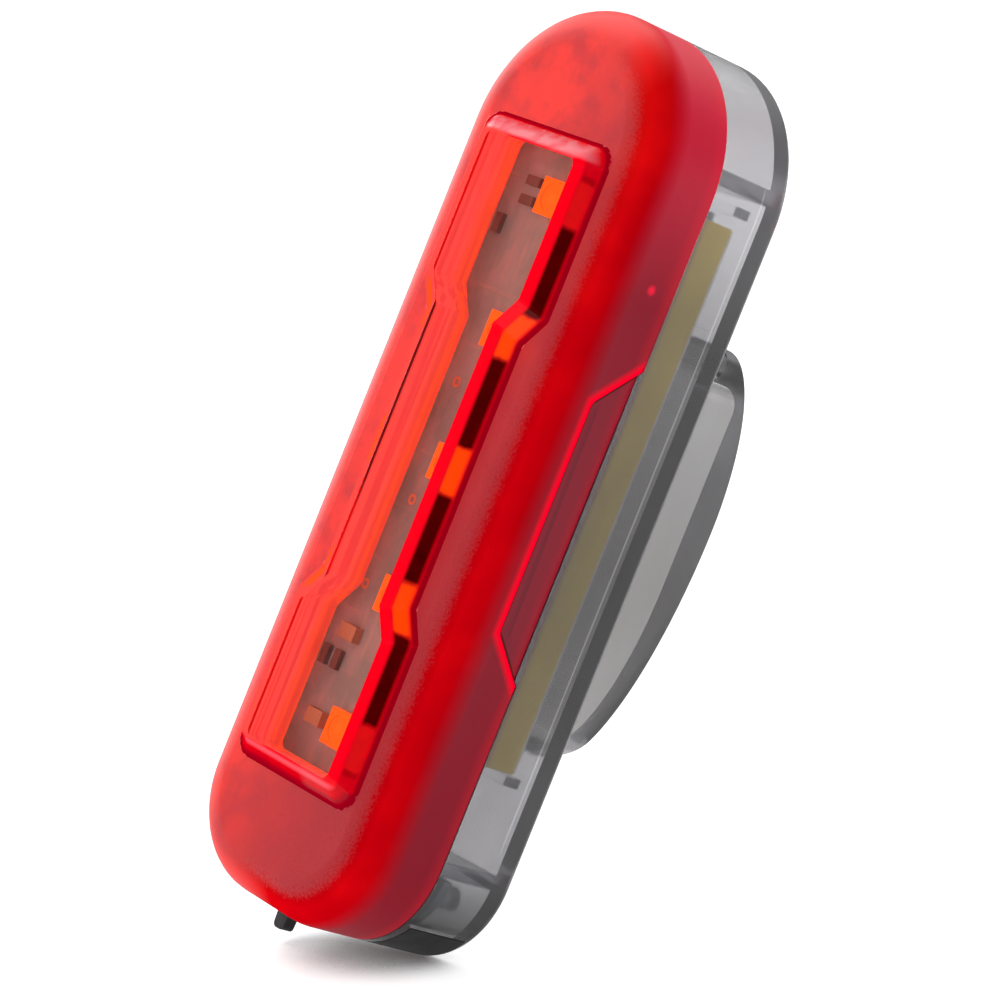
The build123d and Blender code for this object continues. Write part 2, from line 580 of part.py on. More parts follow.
def led_resistors():
    """Current resistors in the left of the light chamber, beside the end emitters."""
    near = -EMITTER_SIZE / 2 - PART_ROOM - RESISTOR_LENGTH / 2
    outer = PART_ROOM + RESISTOR_WIDTH / 2 - CHAMBER_HALF_WIDTH
    places = [(near, TOP_EMITTER_Z + PART_STEP / 2, False), (near, TOP_EMITTER_Z - PART_STEP / 2, False)]
    places += [(outer, TOP_EMITTER_Z - 2 * PART_STEP, True)]
    places += [(outer + n * PART_STEP, BOTTOM_EMITTER_Z + 3 * PART_STEP, True) for n in (0, 1)]
    return small_parts(RESISTOR_LENGTH, RESISTOR_WIDTH, RESISTOR_HEIGHT, places, True)


def front_capacitors():
    """Larger chip parts on the board's front, by the end emitters."""
    near = -EMITTER_SIZE / 2 - PART_ROOM - CAPACITOR_LENGTH / 2
    places = [(near, BOTTOM_EMITTER_Z + 4.5 * PART_STEP, False), (near, BOTTOM_EMITTER_Z, False)]
    places += [(-near, TOP_EMITTER_Z - 2 * PART_STEP, True)]
    return small_parts(CAPACITOR_LENGTH, CAPACITOR_WIDTH, CAPACITOR_HEIGHT, places, True)


def back_capacitors():
    """Chip capacitors on the board's back, in a row below the side switch."""
    first_z = GRIP_CENTRE_Z - SWITCH_LENGTH / 2 - PART_ROOM - CAPACITOR_LENGTH / 2
    places = [(-SWITCH_FRONT_X + SWITCH_DEPTH / 2, first_z - n * 2 * PART_STEP, True) for n in range(3)]
    return small_parts(CAPACITOR_LENGTH, CAPACITOR_WIDTH, CAPACITOR_HEIGHT, places, False)


def chip(length, width, height, legs, x, z):
    """Moulded chip on the board's back with legs down both long sides."""
    body = block(width, height - CHIP_STANDOFF, length, x, BOARD_BACK_Y + CHIP_STANDOFF, z)
    body = chamfer(body.faces().sort_by(Axis.Y)[-1].edges(), height / 7)
    pitch = length / legs
    for leg in range(legs):
        leg_z = z + (leg - (legs - 1) / 2) * pitch
        body += block(width + 2 * LEG_REACH, LEG_THICKNESS, pitch * 0.35, x, BOARD_BACK_Y, leg_z)
    return body


def controller_chip():
    """Controller beside the side switch."""
    return chip(CONTROLLER_LENGTH, CONTROLLER_WIDTH, CONTROLLER_HEIGHT, 4, CONTROLLER_X, CONTROLLER_Z)


def charge_chip():
    """Charging chip near the bottom of the cell."""
    return chip(CHARGER_LENGTH, CHARGER_WIDTH, CHARGER_HEIGHT, 3, CHARGER_X, CHARGER_Z)


def boost_coil():
    """Shielded coil on the board's back: a square block with a round core top."""
    body = block(COIL_SIDE, COIL_HEIGHT, COIL_SIDE, COIL_X, BOARD_BACK_Y, COIL_Z)
    body = chamfer(body.edges().filter_by(Axis.Y), COIL_SIDE / 8)
    core = Pos(COIL_X, COIL_Z) * Circle(COIL_SIDE * 0.38)
    return body - slab(core, BOARD_BACK_Y + COIL_HEIGHT * 0.84, BOARD_BACK_Y + COIL_HEIGHT)


def indicator_led():
    """Charge indicator at the right edge of the board's back."""
    x = BOARD_HALF_WIDTH - INDICATOR_WIDTH / 2
    return block(INDICATOR_WIDTH, INDICATOR_HEIGHT, INDICATOR_LENGTH, x, BOARD_BACK_Y, INDICATOR_Z)


def battery_cell():
    """Pouch cell with softly rounded long edges."""
    cell = block(CELL_WIDTH, CELL_THICKNESS, CELL_LENGTH, 0, CELL_FRONT_Y, CELL_CENTRE_Z)
    return fillet(cell.edges().filter_by(Axis.Z), CELL_EDGE)


def battery_tape():
    """Yellow tape wound once round the cell's narrow sides."""
    outer = Rectangle(CELL_WIDTH + 2 * TAPE_THICKNESS, CELL_LENGTH + 2 * TAPE_THICKNESS)
    band = Pos(0, CELL_CENTRE_Z) * (outer - Rectangle(CELL_WIDTH, CELL_LENGTH))
    return slab(band, CELL_MID_Y - TAPE_WIDTH / 2, CELL_MID_Y + TAPE_WIDTH / 2)


def battery_foam():
    """Foam pad between the cell and the flat back."""
    pad = Rectangle(CELL_WIDTH - 2 * FOAM_MARGIN, CELL_LENGTH - 2 * FOAM_MARGIN)
    return slab(Pos(0, CELL_CENTRE_Z) * pad, CELL_BACK_Y, -CASE_WALL)


def protection_board():
    """Narrow cell protection board across the taped top of the cell."""
    front_y = CELL_MID_Y - GUARD_BOARD_HEIGHT / 2
    middle_z = CELL_TOP_Z + GUARD_BOARD_THICKNESS / 2
    length = CELL_WIDTH - 2 * GUARD_BOARD_MARGIN
    return block(length, GUARD_BOARD_HEIGHT, GUARD_BOARD_THICKNESS, 0, front_y, middle_z)


def battery_lead(side):
    """Lead from the protection board's front edge to the back of the emitter board."""
    x = side * LEAD_SPACING / 2
    start_y = CELL_MID_Y - GUARD_BOARD_HEIGHT / 2
    start_z = CELL_TOP_Z + GUARD_BOARD_THICKNESS / 2
    reach = start_y - BOARD_BACK_Y
    points = [
        (x, start_y, start_z),
        (x, start_y - reach * 0.33, start_z),
        (x, start_y - reach * 0.67, start_z - LEAD_DROP),
        (x, BOARD_BACK_Y, start_z - LEAD_DROP),
    ]
    path = FilletPolyline(*points, radius=LEAD_BEND)
    section = Plane(path @ 0, z_dir=path % 0) * Circle(LEAD_DIAMETER / 2)
    return sweep(section, path=path)


def charge_board():
    """Small board in the bottom compartment that carries the charging socket."""
    low_z = SOCKET_MOUTH_Z + 1.0
    middle_z = (low_z + CHARGE_BOARD_TOP_Z) / 2
    area = Pos(0, middle_z) * Rectangle(BODY_WIDTH, CHARGE_BOARD_TOP_Z - low_z)
    return slab(body_outline(CASE_WALL + CHARGE_BOARD_GAP) & area, CHARGE_BOARD_FRONT_Y, CHARGE_BOARD_BACK_Y)


def board_pins():
    """Header pins that join the charging board to the emitter board."""
    pins = []
    for index in range(PIN_COUNT):
        x = (index - (PIN_COUNT - 1) / 2) * PIN_PITCH
        length = CHARGE_BOARD_FRONT_Y - BOARD_BACK_Y
        pins.append(block(PIN_SIZE, length, PIN_SIZE, x, BOARD_BACK_Y, PIN_Z))
    return Compound(children=pins)


def usb_shell():
    """Pressed sheet shell of the charging socket, open at the mouth."""
    middle_z = SOCKET_MOUTH_Z + SOCKET_LENGTH / 2
    body = Pos(0, PORT_Y, middle_z) * Box(SOCKET_WIDTH, SOCKET_HEIGHT, SOCKET_LENGTH)
    body = chamfer(body.edges().filter_by(Axis.Z).sort_by(Axis.Y)[-2:], SOCKET_HEIGHT / 4)
    inner = offset(body, -SOCKET_SHEET)
    return body - inner - Pos(0, 0, -2 * SOCKET_SHEET) * inner


def usb_tongue():
    """Contact tongue and back block inside the socket's shell."""
    back_z = SOCKET_MOUTH_Z + SOCKET_LENGTH - SOCKET_SHEET
    width = SOCKET_WIDTH - 4 * SOCKET_SHEET
    length = SOCKET_LENGTH - SOCKET_SHEET - SOCKET_TONGUE_INSET
    return Pos(0, PORT_Y, back_z - length / 2) * Box(width * 0.62, SOCKET_TONGUE_HEIGHT, length)


def build():
    """Name every sub-part of the light."""
    parts = {
        "front_lens": front_lens(),
        "rear_case": rear_case(),
        "seam_gasket": seam_gasket(),
        "clip_arm": clip_arm(),
        "power_button": power_button(),
        "switch_plunger": switch_plunger(),
        "side_switch": side_switch(),
        "led_board": led_board(),
        "led_resistors": led_resistors(),
        "front_capacitors": front_capacitors(),
        "back_capacitors": back_capacitors(),
        "controller_chip": controller_chip(),
        "charge_chip": charge_chip(),
        "boost_coil": boost_coil(),
        "indicator_led": indicator_led(),
        "battery_cell": battery_cell(),
        "battery_tape": battery_tape(),
        "battery_foam": battery_foam(),
        "protection_board": protection_board(),
        "battery_lead_red": battery_lead(-1),
        "battery_lead_black": battery_lead(1),
        "charge_board": charge_board(),
        "board_pins": board_pins(),
        "usb_shell": usb_shell(),
        "usb_tongue": usb_tongue(),
        "port_cover": port_cover(),
        "port_anchor": port_anchor(),
    }
    for index in range(EMITTER_COUNT):
        parts[f"led_{index + 1}"] = emitter(index)
    return parts


os.makedirs("parts", exist_ok=True)
for name, shape in build().items():
    export_step(shape, f"parts/{name}.step")
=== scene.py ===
import math

import bmesh
import bpy
from mathutils import Matrix, Vector


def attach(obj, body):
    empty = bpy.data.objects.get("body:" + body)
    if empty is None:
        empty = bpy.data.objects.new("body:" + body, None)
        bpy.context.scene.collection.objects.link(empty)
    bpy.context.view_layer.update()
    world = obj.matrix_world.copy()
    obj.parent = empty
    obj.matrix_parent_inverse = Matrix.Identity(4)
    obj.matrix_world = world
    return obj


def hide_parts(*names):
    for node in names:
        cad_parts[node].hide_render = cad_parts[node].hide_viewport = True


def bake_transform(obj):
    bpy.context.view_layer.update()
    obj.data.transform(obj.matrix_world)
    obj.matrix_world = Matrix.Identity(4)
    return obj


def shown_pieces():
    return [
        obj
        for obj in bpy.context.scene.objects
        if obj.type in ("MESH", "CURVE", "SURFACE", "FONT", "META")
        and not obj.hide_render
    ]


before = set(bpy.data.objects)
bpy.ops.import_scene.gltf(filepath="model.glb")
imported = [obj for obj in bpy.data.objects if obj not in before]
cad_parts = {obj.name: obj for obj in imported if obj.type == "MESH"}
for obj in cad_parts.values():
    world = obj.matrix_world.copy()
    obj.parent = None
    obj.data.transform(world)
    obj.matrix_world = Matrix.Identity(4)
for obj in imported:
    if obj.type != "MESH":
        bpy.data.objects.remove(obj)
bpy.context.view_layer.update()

MM = 0.001

# Places of the solids that the looks follow, in millimetres
FRONT_Y = -15.6
ROUND_END_Y = FRONT_Y + 3.0
WINDOW_Y = -17.13
SEAM_Y = -7.7
BOARD_FRONT_Y = -12.1
CHAMBER_HALF_WIDTH = 6.6
CHAMBER_HALF_HEIGHT = 26.1
WINDOW_CENTRE_Z = -0.3
FACET_HALF_HEIGHT = 25.65
EMITTER_COUNT = 5
EMITTER_PITCH = 11.2
EMITTER_DISH = 1.15
HALF_WIDTH = 11.5
SIDE_X = HALF_WIDTH - 0.6
OUTER_X = HALF_WIDTH - 0.3
CLIP_ROOT_CUT_Y = 2.6
CLIP_ROOT_Z = 14.925
CLIP_ROOT_FOOT_Z = 12.0
BACK_LINE_Y = -2.75
TAPE_FRONT_Y = -6.1
TOP_RIB_Z = 28.2
BOTTOM_RIB_Z = -29.3
RIB_REACH = 0.62
GRIP_FRONT_Y = -11.2
GRIP_CENTRE_Z = -0.9
GRIP_HALF_LENGTH = 9.4
GRIP_REACH = 14.5
GRIP_STEP = 0.24
INDICATOR_Y = -10.1
INDICATOR_Z = 18.2

# The skin's lit left part widens upwards; its edges are given at this height
LIT_EDGE_Z = 18.0

# Plated vias on the board, as x and z, with the radii of their hole and ring
VIAS = ((-2.8, -3.9), (-4.3, -11.5), (2.9, 7.4), (3.6, -14.2), (-3.1, 6.0))
VIA_HOLE = 0.22
VIA_RING = 0.46

# Small measures of the shown pieces, in millimetres
GRIP_EDGE = 0.2
CLIP_EDGE = 0.25
SKIN_GAP = 0.012
CASE_CUT_Y = 0.02
CLIP_FOOT_Y = 0.06
JOIN_REACH = 0.002
SLIVER = 0.001
FLOOR_DROP = 0.05

# A flat area has at least this many faces that look the same way
FLAT_COSINE = 0.999999
FLAT_FACES = 6

# The photograph's camera
CAMERA_AZIMUTH = 49.114
CAMERA_ELEVATION = 2.494
CAMERA_ROLL = 21.931
CAMERA_PLACE = (243.11, -216.93, 12.57)
CAMERA_LENS = 146.2

# Surroundings
FLOOR_TILT = 9.0
FLOOR_SIZE = 3.0
TOP_SHINE = 1.7
SIDE_SHINE = 2.2
REST_SHINE = 0.25
CONTACT_REACH = 7.6
CONTACT_TONE = (0.05, 0.04, 0.04)
FLOOR_WHITE = (0.52, 0.52, 0.525)

BLACK = (0.0, 0.0, 0.0)
WHITE = (1.0, 1.0, 1.0)

# Red skin
RED_SKIN = (0.84, 0.010, 0.002)
# Painted shade: the skin darker to the right, on its sides and on the front's right part
RED_SHADE_RIGHT = (0.43, 0.0, 0.003)
RED_SIDE_SHADE = (0.44, 0.0, 0.022)
RED_SHADE = (0.36, 0.0, 0.01)
# Painted shade of darker patches on the front
RED_PATCH_SHADE = (0.40, 0.0, 0.01)
RED_GRIP = (0.42, 0.0, 0.026)
# Dark lines: the seam, flow lines, and painted shade in the grip's groove
RED_LINE_AND_SHADE = (0.10, 0.0, 0.01)
# Painted shade on the grip's rounded step
RIDGE_SHADE_LIGHT = (0.26, 0.0, 0.004)
RIDGE_SHADE_DARK = (0.15, 0.0, 0.004)
# Painted glow at the skin's edges and the bevels' rim
EDGE_GLOW_RED = (1.0, 0.0, 0.008)
# Painted light near the top of the sides
CROWN_GLOW = (0.9, 0.0, 0.05)
# Painted highlight on the grip's lip
LIP_HIGHLIGHT = (1.0, 0.0, 0.012)
INDICATOR_GLOW = (0.8, 0.0, 0.03)

# Window, its bevels and the chamber behind it
WINDOW_TINT = (1.0, 0.62, 0.52)
BEVEL_TINT = (1.0, 0.05, 0.02)
BEVEL_LIGHT = (0.85, 0.0, 0.005)
BEVEL_MIDDLE = (0.55, 0.0, 0.01)
BEVEL_FOOT = (0.34, 0.0, 0.008)
# Painted reflection on the top cap; painted highlight and shade on the bottom shelf
BEVEL_CAP_REFLECTION = (0.85, 0.16, 0.2)
BEVEL_SHELF_HIGHLIGHT = (0.9, 0.14, 0.18)
BEVEL_SHELF_SHADE = (0.30, 0.0, 0.01)
BEVEL_LEFT = (0.85, 0.055, 0.045)
# Painted light of the emitters seen through the bevels
BEVEL_EMITTER_LIGHT = (1.0, 0.055, 0.0)
BEVEL_EMITTER_GLOW = (1.0, 0.045, 0.0)
BOARD_SHADOW = (0.035, 0.0, 0.0)
BOARD_SHADOW_LIGHT = (0.12, 0.0, 0.0)
# Chamber walls' colours, also used for their painted glow
CHAMBER_RED = (1.0, 0.13, 0.04)
CHAMBER_PINK = (1.0, 0.155, 0.16)
CHAMBER_LINE = (0.45, 0.05, 0.09)
CHAMBER_LINE_GLOW = (0.45, 0.03, 0.07)

# Clear plastic
CASE_SMOKE = (0.64, 0.635, 0.645)
CLIP_SMOKE = (0.40, 0.395, 0.39)
# Warmer tone, for random cloud and for the painted shade in the middle
SMOKE_WARMTH = (0.60, 0.585, 0.56)
SMOKE_SOAK = (0.44, 0.43, 0.48)
SMOKE_SOAK_PER_MM = 0.08
# Painted highlight along the back line
BACK_LINE_HIGHLIGHT = (0.8, 0.8, 0.85)

# Board and emitters
BOARD_GREY = (0.29, 0.38, 0.46)
BOARD_TRACE = (0.42, 0.40, 0.42)
BOARD_PATCH = (0.15, 0.31, 0.37)
BOARD_FIBRE = (0.17, 0.22, 0.26)
VIA_METAL = (0.62, 0.5, 0.3)
EMITTER_ORANGE = (0.95, 0.18, 0.0)
EMITTER_GEL = (1.0, 0.14, 0.0)
EMITTER_CHIP = (0.8, 0.2, 0.01)
EMITTER_GLOW = (1.0, 0.15, 0.0)
EMITTER_GEL_GLOW = (1.0, 0.19, 0.0)

# Stretch of a noise that runs in long lines
LENGTHWISE = (1, 1, 0.015)


def camera_axes():
    """Right, up and back directions of the photograph's camera."""
    a, e, r = (math.radians(d) for d in (CAMERA_AZIMUTH, CAMERA_ELEVATION, CAMERA_ROLL))
    back = Vector((math.sin(a) * math.cos(e), -math.cos(a) * math.cos(e), math.sin(e)))
    level = Vector((math.cos(a), math.sin(a), 0))
    upright = back.cross(level)
    right = math.cos(r) * level + math.sin(r) * upright
    up = math.cos(r) * upright - math.sin(r) * level
    return right, up, back


RIGHT, UP, BACK = camera_axes()


def place_camera():
    data = bpy.data.cameras.new("photo_camera")
    data.sensor_width = 36
    data.lens = CAMERA_LENS
    data.clip_start = 0.01
    data.clip_end = 20
    camera = bpy.data.objects.new("photo_camera", data)
    turn = Matrix((RIGHT, UP, BACK)).transposed().to_4x4()
    camera.matrix_world = Matrix.Translation(Vector(CAMERA_PLACE) * MM) @ turn
    bpy.context.scene.collection.objects.link(camera)
    bpy.context.scene.camera = camera


class Value:
    """A shader socket; arithmetic on it adds Math nodes."""

    def __init__(self, finish, socket):
        self.finish = finish
        self.socket = socket

    def _math(self, operation, *values, **settings):
        return self.finish.node("Math", {"operation": operation, **settings}, *values)

    def __add__(self, other):
        return self._math("ADD", self, other)

    def __sub__(self, other):
        return self._math("SUBTRACT", self, other)

    def __rsub__(self, other):
        return self._math("SUBTRACT", other, self)

    def __mul__(self, other):
        return self._math("MULTIPLY", self, other)

    def __truediv__(self, other):
        return self._math("DIVIDE", self, other)

    def __pow__(self, other):
        return self._math("POWER", self, other)

    __radd__ = __add__
    __rmul__ = __mul__

    def size(self):
        return self._math("ABSOLUTE", self)

    def above(self, edge, soft):
        """0 below the edge and 1 above it, changing over the width soft."""
        return self._math("DIVIDE", self - (edge - soft / 2), soft, use_clamp=True)

    def below(self, edge, soft):
        return 1 - self.above(edge, soft)

    def most(self, other):
        return self._math("MAXIMUM", self, other)

    def least(self, other):
        return self._math("MINIMUM", self, other)

    def repeat(self, pitch):
        """Distance from the nearest multiple of pitch, with its sign."""
        return self._math("WRAP", self, pitch / 2, -pitch / 2)


class Finish:
    """The nodes of a material or world under construction."""

    def __init__(self, owner, kind="Material"):
        owner.use_nodes = True
        self.owner = owner
        self.tree = owner.node_tree
        self.tree.nodes.clear()
        self.output = self.tree.nodes.new("ShaderNodeOutput" + kind)

    def feed(self, socket, value):
        """Links a Value to a socket, or sets the socket to a plain number or colour."""
        if isinstance(value, Value):
            self.tree.links.new(value.socket, socket)
        elif value is not None:
            if socket.type == "RGBA" and len(value) == 3:
                value = (*value, 1)
            socket.default_value = value

    def node(self, kind, settings=None, *values, out=0, **named):
        """A new node with its settings, its first inputs in order and others by name."""
        made = self.tree.nodes.new("ShaderNode" + kind)
        for key, setting in (settings or {}).items():
            setattr(made, key, setting)
        for index, value in enumerate(values):
            self.feed(made.inputs[index], value)
        for key, value in named.items():
            self.feed(made.inputs[key.replace("_", " ")], value)
        return Value(self, made.outputs[out])

    def outputs(self, kind, *names):
        """Several outputs of one new node."""
        sockets = self.node(kind).socket.node.outputs
        return [Value(self, sockets[name]) for name in names]

    def place(self):
        """Object coordinates in millimetres, as three values."""
        point = self.node("TexCoord", out=3)
        scaled = self.node("VectorMath", {"operation": "SCALE"}, point, Scale=1 / MM)
        parts = self.node("SeparateXYZ", None, scaled)
        return [Value(self, socket) for socket in parts.socket.node.outputs]

    def noise(self, millimetres, detail=3, rough=0.5, stretch=(1, 1, 1)):
        """Smooth noise of a grain size, finer along the directions with a larger stretch."""
        point = self.node("TexCoord", out=3)
        scaled = self.node("Mapping", None, point, Scale=tuple(s / MM for s in stretch))
        return self.node(
            "TexNoise", None, Vector=scaled, Scale=1 / millimetres, Detail=detail, Roughness=rough
        )

    def mix(self, share, first, second):
        """A colour between two others."""
        made = self.tree.nodes.new("ShaderNodeMix")
        made.data_type = "RGBA"
        self.feed(made.inputs[0], share)
        self.feed(made.inputs[6], first)
        self.feed(made.inputs[7], second)
        return Value(self, made.outputs[2])

    def bump(self, height, depth_mm, strength):
        return self.node("Bump", None, Strength=strength, Distance=depth_mm * MM, Height=height)

    def principled(self, **sockets):
        return self.node("BsdfPrincipled", None, **sockets)

    def soak(self, colour, per_mm):
        """Absorption inside clear plastic."""
        soaked = self.node("VolumeAbsorption", None, Color=colour, Density=per_mm / MM)
        self.tree.links.new(soaked.socket, self.output.inputs["Volume"])

    def surface(self, shader):
        self.tree.links.new(shader.socket, self.output.inputs["Surface"])
        return self.owner


def new_finish(name):
    return Finish(bpy.data.materials.new(name))


def shade(colour, share):
    return tuple(share * c for c in colour)


def from_grip(y, z):
    """Distance from the outline of the side grip, less than 0 inside it."""
    slant = ((z - GRIP_CENTRE_Z).size() - y + GRIP_FRONT_Y - GRIP_HALF_LENGTH) / math.sqrt(2)
    return slant.most(GRIP_FRONT_Y - y)


def skin_finish():
    """Red lens skin: sparkling front, plain red rounds, calmer sides; painted shade to the right and on the
    sides, painted glow at the edges and near the top.
    """
    f = new_finish("lens_skin")
    x, y, z = f.place()
    grain = f.noise(0.2, detail=2, rough=0.6)
    cloud = f.noise(5.0, detail=2)

    # Zones from front to back
    front = (y + (grain - 0.5) * 0.8).below(FRONT_Y + 0.24, 0.42)
    round_over = y.above(FRONT_Y + 0.45, 0.7) * y.below(ROUND_END_Y, 2.2)
    side = y.above(ROUND_END_Y, 2.0)
    wall = x.size().above(SIDE_X, 0.3) * y.above(FRONT_Y + 2.6, 0.6)
    rim = y.above(SEAM_Y - 0.7, 1.2)
    seam = y.above(SEAM_Y - 0.16, 0.1) * z.below(14.0, 16.0)
    # Painted light on the sides near the top
    crown = z.above(25.0, 16.0) * side

    # Painted shade: darker to the right, away from the lit left, in cloudy patches, with darker patches on
    # the front
    away = (x + 0.16 * (LIT_EDGE_Z - z)).above(5.0, 14.0)
    depth = (away + (cloud - 0.5) * 0.6).above(0.5, 1.0)
    facing = (x + 0.1 * (LIT_EDGE_Z - z)).above(4.5, 5.0)
    # Painted shade in random darker patches on the front
    patch_shade = f.noise(4.0, detail=3, rough=0.6).above(0.55, 0.2) * front

    # The grip: a painted highlight on the lip round it, painted shade in the groove and faint lines on its
    # floor
    edge = from_grip(y, z)
    inside = edge.below(-GRIP_STEP, 0.1) * wall
    # Painted highlight along the grip's lip, given as glow
    lip_highlight = edge.above(0.02, 0.04) * edge.below(0.7, 0.7) * wall
    # Painted shade in the groove
    groove_shade = edge.below(-0.04, 0.04) * edge.above(-GRIP_STEP, 0.1) * wall
    line = f.noise(0.4, detail=1, stretch=LENGTHWISE).above(0.6, 0.1) * edge.below(-0.6, 0.6) * wall

    # Painted shade to the right
    red = f.mix(depth, RED_SKIN, RED_SHADE_RIGHT)
    # Painted shade and a faint painted bluish reflection on the side walls
    red = f.mix(depth.most(0.5) * side, red, RED_SIDE_SHADE)
    # Painted shade on the front's right part
    red = f.mix(depth * front * 0.5, red, RED_SHADE)
    red = f.mix(inside, red, RED_GRIP)
    red = f.mix(patch_shade * 0.6, red, RED_PATCH_SHADE)
    red = f.mix(groove_shade.most(line * 0.4).most(seam), red, RED_LINE_AND_SHADE)

    # Painted glow: light at the plastic's edges, near the top and on the grip's lip, and the indicator's
    # light showing through
    spot = ((y - INDICATOR_Y) ** 2 + (z - INDICATOR_Z) ** 2) ** 0.5
    dot = spot.below(0.32, 0.4) * x.above(OUTER_X, 0.1)
    edge_glow = round_over.most(rim * 0.7) * (1.2 - 0.8 * cloud)
    glow = f.mix(edge_glow * 0.34, BLACK, EDGE_GLOW_RED)
    glow = f.mix(crown * 0.5, glow, CROWN_GLOW)
    glow = f.mix(lip_highlight, glow, LIP_HIGHLIGHT)
    glow = f.mix(seam, glow, BLACK)

    sparkle = front * (0.95 + 0.5 * grain)
    side_sheen = side * (0.55 + 0.3 * inside + 0.6 * crown) * (1 - lip_highlight)
    left_sheen = (1 - facing) * (1 - 0.65 * side)
    shader = f.principled(
        Base_Color=red,
        Roughness=0.3 + 0.1 * grain,
        Specular_IOR_Level=0.0,
        Coat_Weight=sparkle.most(side_sheen).most(left_sheen),
        Coat_Roughness=0.42,
        Emission_Color=f.mix(dot, glow, INDICATOR_GLOW),
        Emission_Strength=0.85,
        Normal=f.bump(grain * (0.02 + 0.98 * front), 0.06, 0.7),
    )
    return f.surface(shader)


def ridge_finish():
    """Rounded step down to the side grip's floor: it turns light away, and its dark line is painted shade.
    """
    f = new_finish("lens_ridge")
    grain = f.noise(0.4, detail=2)
    shader = f.principled(
        Base_Color=f.mix(grain, RIDGE_SHADE_LIGHT, RIDGE_SHADE_DARK),
        Roughness=0.25 + 0.1 * grain,
        Specular_IOR_Level=0.05,
    )
    return f.surface(shader)


def window_finish():
    """Clear window, lightly tinted red."""
    f = new_finish("lens_window")
    ripple = f.noise(5.0, detail=1)
    shader = f.principled(
        Base_Color=f.mix(ripple * 0.1, WINDOW_TINT, BEVEL_TINT),
        Roughness=0.0,
        IOR=1.2,
        Transmission_Weight=1.0,
        Normal=f.bump(ripple, 0.01, 0.12),
    )
    return f.surface(shader)


def bevel_finish():
    """Window's bevels, painted: a painted highlight along the rim, painted orange light at the emitters,
    painted shade of the board between them, a painted reflection on the top cap, and a painted highlight
    and shade on the bottom shelf.
    """
    f = new_finish("lens_bevel")
    x, y, z = f.place()
    wobble = f.noise(1.1, detail=2)
    down = y - WINDOW_Y
    from_centre = z - WINDOW_CENTRE_Z

    # Zones of the bevels: the long sides, the left one, the top cap and the bottom shelf
    on_side = from_centre.size().below(FACET_HALF_HEIGHT - 1.2, 0.8)
    waist = from_centre.size().below(14.0, 2.0)
    left = x.below(-3.0, 1.0)
    cap = z.above(WINDOW_CENTRE_Z + FACET_HALF_HEIGHT + 0.2, 0.3)
    shelf = z.below(WINDOW_CENTRE_Z - FACET_HALF_HEIGHT - 0.2, 0.3)

    # Painted view through the bevel: painted shade of the board between the emitters, painted orange light
    # beside them
    along = from_centre.repeat(EMITTER_PITCH).size() + (wobble - 0.5) * 0.5
    between = along.above(1.9, 0.5)
    middle = down.above(0.55, 0.12) * down.below(1.2, 0.2)
    # Painted shade of the board between the emitters
    dark = between * middle * on_side * (1 - left)
    emitter_light = (1 - between) * middle * on_side * (0.1 + 0.9 * waist)

    red = f.mix(wobble, BEVEL_LIGHT, BEVEL_MIDDLE)
    red = f.mix(down.above(1.3, 0.1), red, BEVEL_FOOT)
    # Painted reflection on the top cap
    red = f.mix(cap * down.below(0.9, 0.5) * 0.7, red, BEVEL_CAP_REFLECTION)
    # Painted highlight, then painted shade, on the bottom shelf
    red = f.mix(shelf * down.below(0.5, 0.3) * 0.7, red, BEVEL_SHELF_HIGHLIGHT)
    red = f.mix(shelf * down.above(1.0, 0.3) * 0.8, red, BEVEL_SHELF_SHADE)
    red = f.mix(left * (1 - shelf) * (1 - cap), red, BEVEL_LEFT)
    red = f.mix(emitter_light * 0.8, red, BEVEL_EMITTER_LIGHT)

    # Painted highlight along the rim
    rim_highlight = down.below(0.5, 0.2)
    sheen = (cap * wobble.above(0.45, 0.3)).most(x.above(2.0, 1.0) * 0.3)
    # Painted glow: the emitters' light beside them, the rim's highlight elsewhere
    glow = f.mix(emitter_light, EDGE_GLOW_RED, BEVEL_EMITTER_GLOW)
    shader = f.principled(
        Base_Color=f.mix(dark, red, f.mix(wobble, BOARD_SHADOW, BOARD_SHADOW_LIGHT)),
        Roughness=0.12 + 0.05 * wobble,
        Specular_IOR_Level=0.0,
        Coat_Weight=sheen * down.below(1.2, 0.1),
        Coat_Roughness=0.1,
        Emission_Color=f.mix(rim_highlight.most(emitter_light) * 0.5, BLACK, glow),
        Emission_Strength=0.8,
    )
    return f.surface(shader)


def chamber_finish():
    """Walls of the light chamber: red plastic with lengthwise flow lines; their glow is painted light
    coming through from the side.
    """
    f = new_finish("lens_chamber")
    _, y, _ = f.place()
    wave = f.noise(1.8, detail=2)
    deep = (y + wave * 0.5).above(-13.3, 1.2)
    line = f.noise(0.5, detail=1, stretch=LENGTHWISE).above(0.52, 0.12)
    colour = f.mix(deep, CHAMBER_PINK, CHAMBER_RED)
    shader = f.principled(
        Base_Color=f.mix(line * 0.4, colour, CHAMBER_LINE),
        Roughness=0.25,
        IOR=1.5,
        # Painted glow of the light coming through from the side
        Emission_Color=f.mix(line * 0.4, colour, CHAMBER_LINE_GLOW),
        Emission_Strength=0.5,
        Normal=f.bump(wave, 0.02, 0.2),
    )
    return f.surface(shader)


